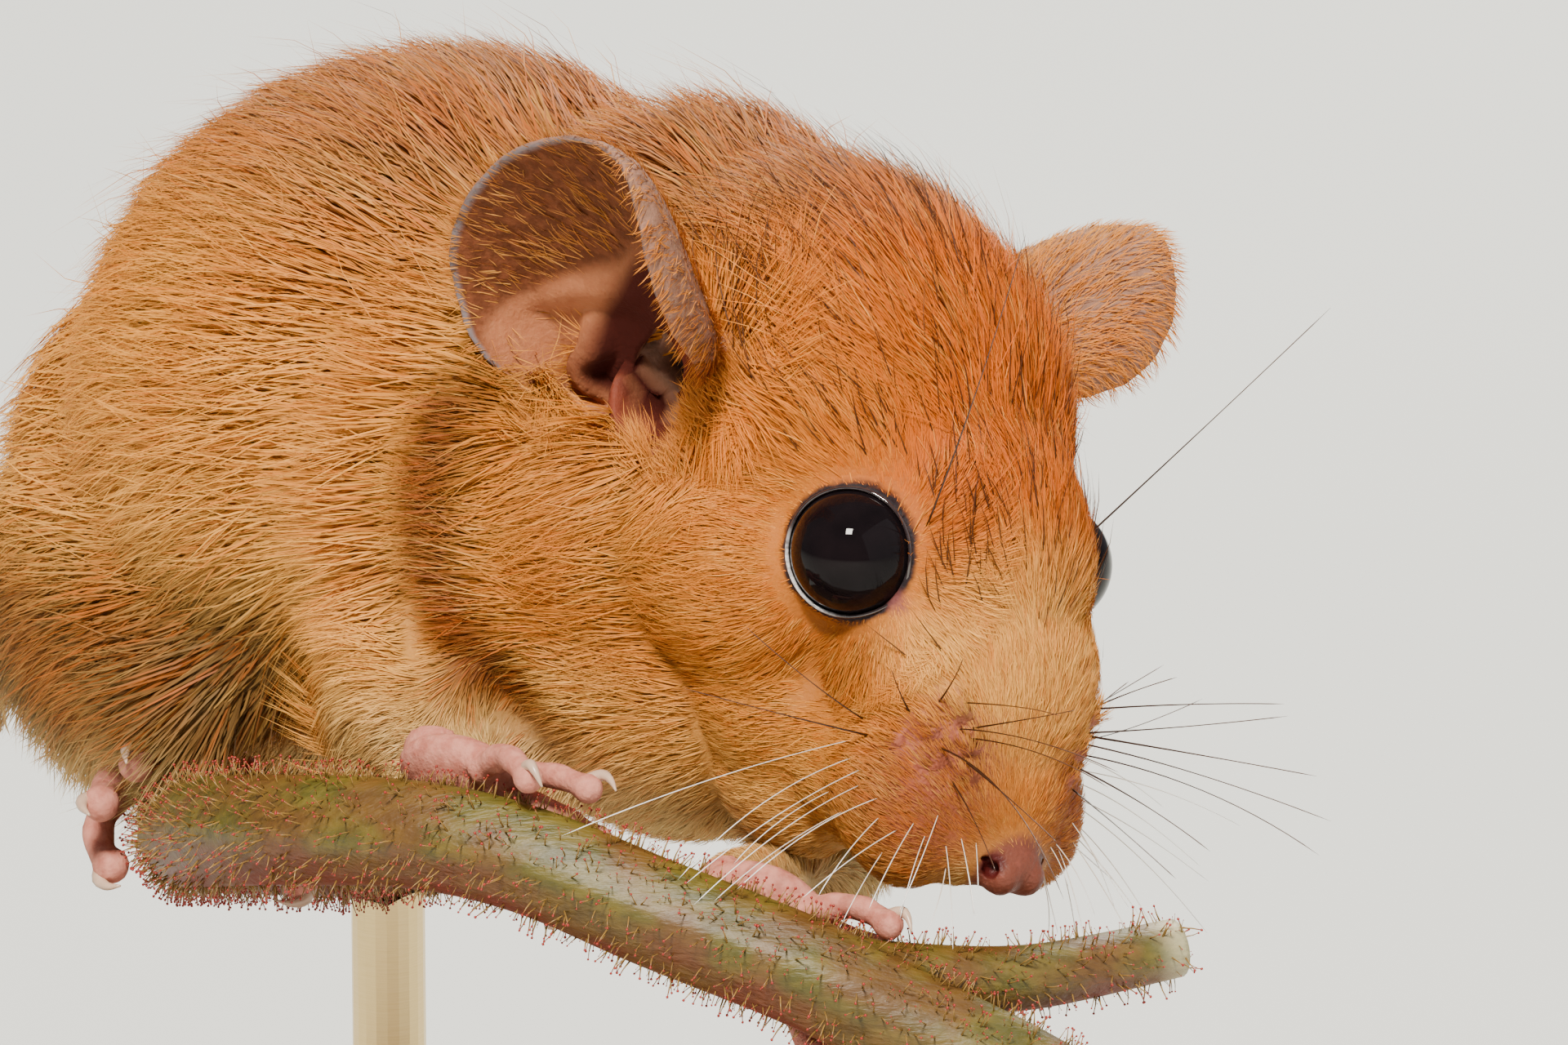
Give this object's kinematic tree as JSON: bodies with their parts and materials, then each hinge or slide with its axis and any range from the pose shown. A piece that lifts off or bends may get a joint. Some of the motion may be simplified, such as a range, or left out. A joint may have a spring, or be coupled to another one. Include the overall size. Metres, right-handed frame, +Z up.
{
  "type": "hazel dormouse display model",
  "caption": "Still, life-size model of a hazel dormouse gripping a cut length of bramble stem, held on two short rods over a round flat base.",
  "frame": {"origin": "centre of the underside of the round stand base", "axes": "+Z up; +X to the right and +Y away as seen from the picture's side"},
  "size_m": [0.1034, 0.08, 0.0702],
  "materials": {
    "coat": "soft ginger fur",
    "ear": "thin bare skin with fine hair",
    "eye": "polished black glass",
    "paw": "soft bare pink skin",
    "stem": "green bark with fine red hairs",
    "wood": "satin varnish",
    "rod": "brushed"
  },
  "bodies": {
    "root": {"head": "coat", "neck": "coat", "torso": "coat", "ear_right": "ear", "ear_left": "ear", "eye_right": "eye", "eye_left": "eye", "foreleg_right": "coat", "foreleg_left": "coat", "forepaw_right": "paw", "forepaw_left": "paw", "hindleg_right": "coat", "hindleg_left": "coat", "hindfoot_right": "paw", "hindfoot_left": "paw", "tail_base": "coat", "tail_middle": "coat", "tail_tip": "coat", "perch_stem": "stem", "stand_base": "wood", "stand_rod_1": "rod", "stand_rod_2": "rod"}
  },
  "joints": []
}
